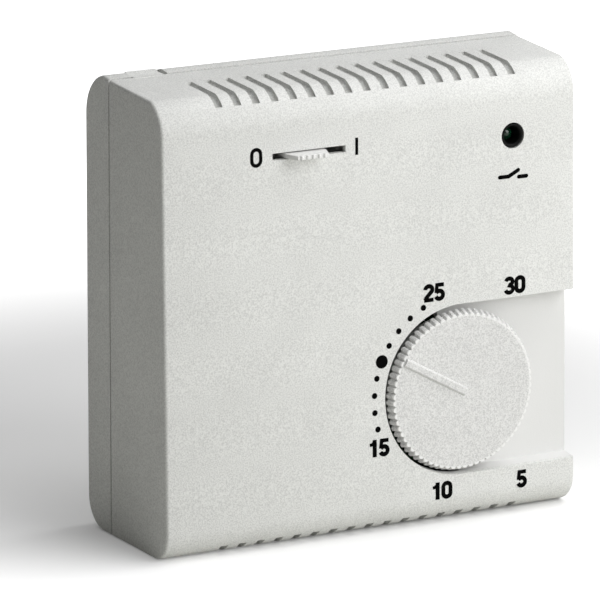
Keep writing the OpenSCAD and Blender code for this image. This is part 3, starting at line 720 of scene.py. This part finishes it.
for name, slot_name, draw in (
        ("resistor_ends", "resistor_lacquer", draw_resistor_ends),
        ("resistor_bands_brown", "band_brown", bands_at((-2.0, 0.35))),
        ("resistor_bands_red", "band_red", bands_at((-0.95,))),
        ("resistor_bands_gold", "band_gold", bands_at((1.75,))),
        ("diode_bands", "print_white", draw_diode_bands),
        ("solder_pads", "solder", draw_pads),
        ("capacitor_tops", "aluminium_shaft", draw_can_tops),
        ("capacitor_scores", "steel", draw_can_scores),
        ("capacitor_stripes", "print_white", draw_can_stripes),
        ("board_print", "print_white", draw_board_print),
        ("board_tracks", "board_track", draw_board_tracks),
        ("relay_rim", "relay_plastic", draw_relay_rim)):
    detail = build(name, "base", slot_name, draw)
    if name.startswith(("resistor", "diode", "solder", "capacitor_tops")):
        soften(detail)


# ---------------------------------------------------------------- floor, light and camera
def camera_switch(g, seen, unseen):
    """A value that is one number in the picture itself and another in what lights the object."""
    path = g.add("ShaderNodeLightPath")
    choose = g.add("ShaderNodeMix")
    g.link(path.outputs["Is Camera Ray"], choose.inputs[0])
    for socket, value in ((choose.inputs[2], unseen), (choose.inputs[3], seen)):
        if isinstance(value, float):
            socket.default_value = value
        else:
            g.link(value, socket)
    return choose.outputs[0]


FLOOR_BOUNCE = 0.73
FLOOR_GLOW = (0.055, 0.19, 0.0, 0.9)
SHADOW_CENTRE = (0.02, 0.05)
floor_z = cad_box[0].z - 0.05 * MM


def floor_paper():
    """White paper, lit up away from the object so that it runs out to plain white."""
    g = Graph("floor_paper")
    distance = g.add("ShaderNodeVectorMath", operation="DISTANCE")
    g.link(g.coords, distance.inputs[0])
    distance.inputs[1].default_value = (*SHADOW_CENTRE, floor_z)
    glow = g.add("ShaderNodeMapRange", interpolation_type="SMOOTHSTEP")
    g.link(distance.outputs["Value"], glow.inputs["Value"])
    for name, value in zip(("From Min", "From Max", "To Min", "To Max"), FLOOR_GLOW):
        glow.inputs[name].default_value = value
    colour = g.add("ShaderNodeCombineColor")
    for i, tint in enumerate((1.0, 1.0, 0.95)):
        g.link(camera_switch(g, 0.95, FLOOR_BOUNCE * tint), colour.inputs[i])
    g.link(camera_switch(g, glow.outputs["Result"], 0.0), g.shader.inputs["Emission Strength"])
    grain = g.noise(0.6, 2.0)
    return g.finish(colour.outputs[0], 0.9, g.bump(grain, 0.01, 0.2), Emission_Color=(1, 1, 1, 1),
                    Specular_IOR_Level=0.0)


FLOOR_HALF = 12.0
floor_mesh = bpy.data.meshes.new("floor")
bm = bmesh.new()
bm.faces.new([bm.verts.new((sx * FLOOR_HALF, sy * FLOOR_HALF, floor_z))
              for sx, sy in ((-1, -1), (1, -1), (1, 1), (-1, 1))])
bm.to_mesh(floor_mesh)
bm.free()
floor = bpy.data.objects.new("floor", floor_mesh)
bpy.context.scene.collection.objects.link(floor)
floor_mesh.materials.append(floor_paper())


def area_light(name, place, target, size, power):
    data = bpy.data.lights.new(name, "AREA")
    data.shape = "DISK"
    data.size = size
    data.energy = power
    obj = bpy.data.objects.new(name, data)
    obj.location = place
    obj.rotation_euler = (Vector(target) - Vector(place)).to_track_quat("-Z", "Y").to_euler()
    bpy.context.scene.collection.objects.link(obj)


KEY_PLACE, KEY_SIZE, KEY_POWER = (0.23, -0.47, 0.23), 0.5, 1.94
WORLD_OVERHEAD = (0.0, 0.85)
WORLD_SIDEWAYS = (0.02, 1.3)
FILL_PLACE, FILL_SIZE, FILL_POWER = (0.4, -0.1, 0.6), 0.5, 1.9
LIGHTS_AIM = (0, -0.03, 0)
area_light("key", KEY_PLACE, LIGHTS_AIM, KEY_SIZE, KEY_POWER)
area_light("fill", FILL_PLACE, LIGHTS_AIM, FILL_SIZE, FILL_POWER)


def studio_world():
    """Weak light that is stronger from overhead and from the right, and plain white behind the object."""
    world = bpy.data.worlds.new("studio")
    world.use_nodes = True
    tree = world.node_tree
    add, link = tree.nodes.new, tree.links.new
    coords, axes = add("ShaderNodeTexCoord"), add("ShaderNodeSeparateXYZ")
    path = add("ShaderNodeLightPath")
    link(coords.outputs["Generated"], axes.inputs[0])
    overhead, sideways = add("ShaderNodeMapRange"), add("ShaderNodeMapRange")
    for node, axis, low, high in ((overhead, "Z", *WORLD_OVERHEAD), (sideways, "X", *WORLD_SIDEWAYS)):
        node.inputs["From Min"].default_value = -1.0 if axis == "X" else 0.0
        node.inputs["To Min"].default_value = low
        node.inputs["To Max"].default_value = high
        link(axes.outputs[axis], node.inputs["Value"])
    product = add("ShaderNodeMath")
    product.operation = "MULTIPLY"
    link(overhead.outputs["Result"], product.inputs[0])
    link(sideways.outputs["Result"], product.inputs[1])
    choose = add("ShaderNodeMix")
    link(path.outputs["Is Camera Ray"], choose.inputs[0])
    link(product.outputs[0], choose.inputs[2])
    choose.inputs[3].default_value = 1.0
    background = tree.nodes["Background"]
    background.inputs["Color"].default_value = (1, 1, 1, 1)
    link(choose.outputs[0], background.inputs["Strength"])
    bpy.context.scene.world = world


studio_world()

CAMERA_PLACE = Vector((-0.50313, -0.91471, 0.25682))
LOOK = Vector((0.46864, 0.84912, -0.24366))
UP = Vector((0.1161, 0.21423, 0.96986))
RIGHT = LOOK.cross(UP).normalized()
camera_data = bpy.data.cameras.new("camera")
camera_data.sensor_width = 36
camera_data.lens = 353.58
camera = bpy.data.objects.new("camera", camera_data)
turn = Matrix((RIGHT, RIGHT.cross(LOOK), -LOOK)).transposed()
camera.matrix_world = Matrix.Translation(CAMERA_PLACE) @ turn.to_4x4()
camera_data.clip_start, camera_data.clip_end = 0.05, 50
bpy.context.scene.collection.objects.link(camera)
bpy.context.scene.camera = camera
bpy.context.scene.view_settings.view_transform = "Standard"
